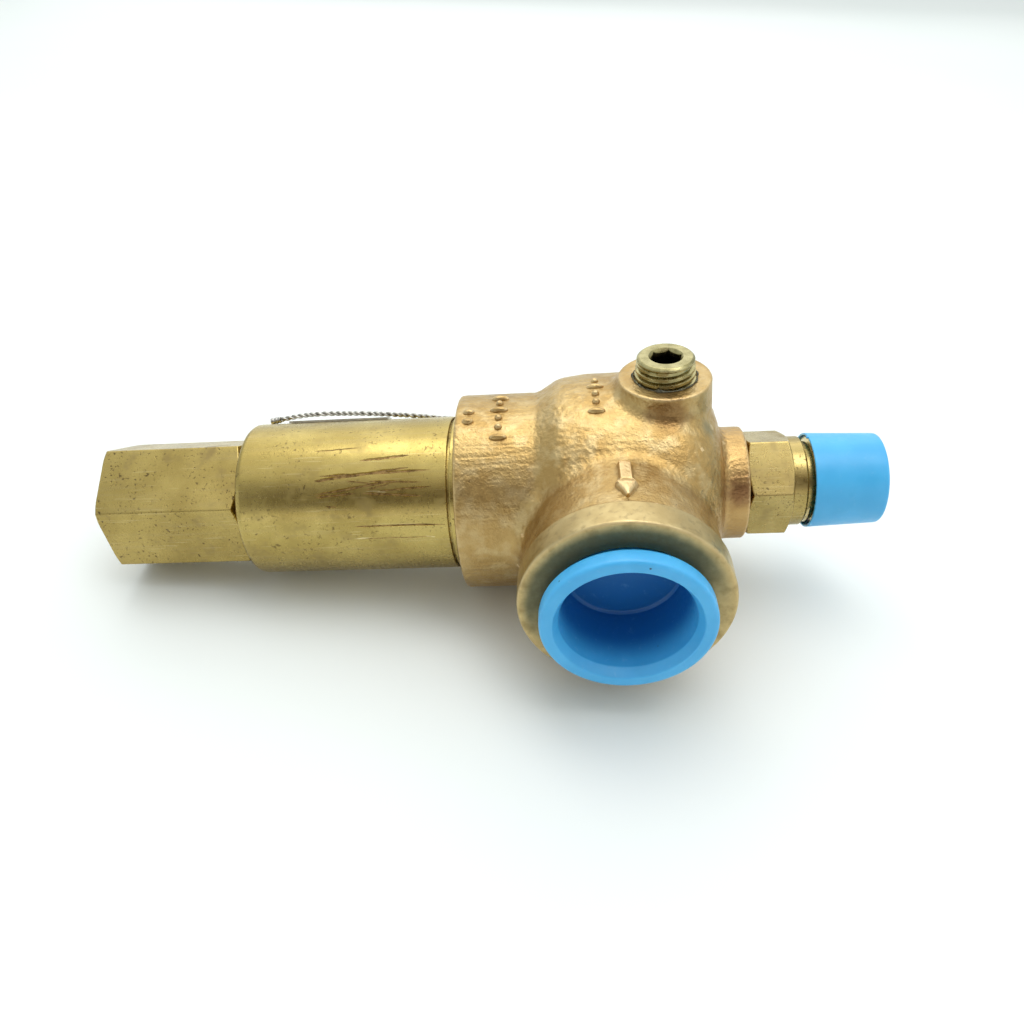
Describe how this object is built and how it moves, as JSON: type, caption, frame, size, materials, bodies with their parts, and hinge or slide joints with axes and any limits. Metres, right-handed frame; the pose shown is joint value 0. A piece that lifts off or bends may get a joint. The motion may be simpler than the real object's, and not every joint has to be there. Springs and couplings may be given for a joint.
{
  "type": "pressure relief valve",
  "caption": "Angle-pattern bronze pressure relief valve with a closed hexagon cap, threaded inlet and outlet, drain plug and plastic thread protectors.",
  "frame": {"origin": "centre of the inlet thread's end face, on the valve axis", "axes": "+X along the valve axis, out of the inlet; -Y out of the outlet; +Z out of the drain boss"},
  "size_m": [0.1857, 0.0751, 0.0628],
  "materials": {
    "cast_bronze": "sand-cast, satin",
    "turned_brass": "turned, dulled by handling",
    "plated_steel": "yellow zinc plate",
    "inner_steel": "ground",
    "wire_steel": "drawn",
    "plate_metal": "dull",
    "blue_plastic": "soft moulded, satin",
    "sealant": "set paste",
    "gasket_fibre": "fibre",
    "seal_rubber": "moulded",
    "seat_polymer": "machined"
  },
  "bodies": {
    "valve_body": {"cast_body": "cast_bronze", "nozzle": "turned_brass", "nozzle_o_ring": "seal_rubber", "bonnet": "turned_brass", "bonnet_seal_ring": "turned_brass", "guide": "turned_brass", "name_plate": "plate_metal", "name_plate_pins": "inner_steel", "seal_wire": "wire_steel", "wire_ferrule": "wire_steel"},
    "disc_group": {"disc_holder": "turned_brass", "seat_insert": "seat_polymer", "insert_retainer": "inner_steel", "retainer_screw": "inner_steel", "stem_retaining_ring": "inner_steel", "stem": "inner_steel", "lower_spring_step": "inner_steel", "main_spring": "inner_steel"},
    "spring_top": {"upper_spring_step": "inner_steel"},
    "adjusting_screw": {"compression_screw": "turned_brass"},
    "lock_nut": {"jam_nut": "turned_brass"},
    "cap_seal": {"cap_gasket": "gasket_fibre"},
    "cap": {"hex_cap": "turned_brass"},
    "inlet_protector": {"inlet_cap": "blue_plastic"},
    "outlet_protector": {"outlet_plug": "blue_plastic"},
    "plug_seal": {"thread_sealant": "sealant"},
    "drain": {"drain_plug": "plated_steel"}
  },
  "joints": [
    {"name": "disc_lift", "type": "slide", "parent": "valve_body", "child": "disc_group", "axis": [-1, 0, 0], "range_m": [0, 0.0025], "stiffness_N_per_m": 20000, "deforming": ["main_spring"]},
    {"name": "spring_step_travel", "type": "slide", "parent": "valve_body", "child": "spring_top", "axis": [1, 0, 0], "range_m": [-0.0018, 0.0014], "deforming": ["main_spring"]},
    {"name": "adjusting_screw_turn", "type": "hinge", "parent": "spring_top", "child": "adjusting_screw", "pos_m": [-0.16, 0, 0], "axis": [1, 0, 0], "range_deg": [-350, 270]},
    {"name": "jam_nut_turn", "type": "hinge", "parent": "valve_body", "child": "lock_nut", "pos_m": [-0.16, 0, 0], "axis": [-1, 0, 0], "range_deg": [0, 90]},
    {"name": "cap_travel", "type": "slide", "parent": "valve_body", "child": "cap_seal", "axis": [-1, 0, 0], "range_m": [0, 0.0105]},
    {"name": "cap_turn", "type": "hinge", "parent": "cap_seal", "child": "cap", "pos_m": [-0.16, 0, 0], "axis": [-1, 0, 0], "range_deg": [0, 2340]},
    {"name": "inlet_cap_pull", "type": "slide", "parent": "valve_body", "child": "inlet_protector", "axis": [1, 0, 0], "range_m": [0, 0.06]},
    {"name": "outlet_plug_pull", "type": "slide", "parent": "valve_body", "child": "outlet_protector", "axis": [0, -1, 0], "range_m": [0, 0.06]},
    {"name": "drain_plug_travel", "type": "slide", "parent": "valve_body", "child": "plug_seal", "axis": [0, 0, 1], "range_m": [0, 0.0075]},
    {"name": "drain_plug_turn", "type": "hinge", "parent": "plug_seal", "child": "drain", "pos_m": [-0.04879, 0, 0.03], "axis": [0, 0, 1], "range_deg": [0, 1764]}
  ],
  "couplings": [
    {"joint": "spring_step_travel", "follows": "adjusting_screw_turn", "m_per_rad": 0.00028875},
    {"joint": "cap_travel", "follows": "cap_turn", "m_per_rad": 0.00023873},
    {"joint": "drain_plug_travel", "follows": "drain_plug_turn", "m_per_rad": 0.00022459}
  ]
}
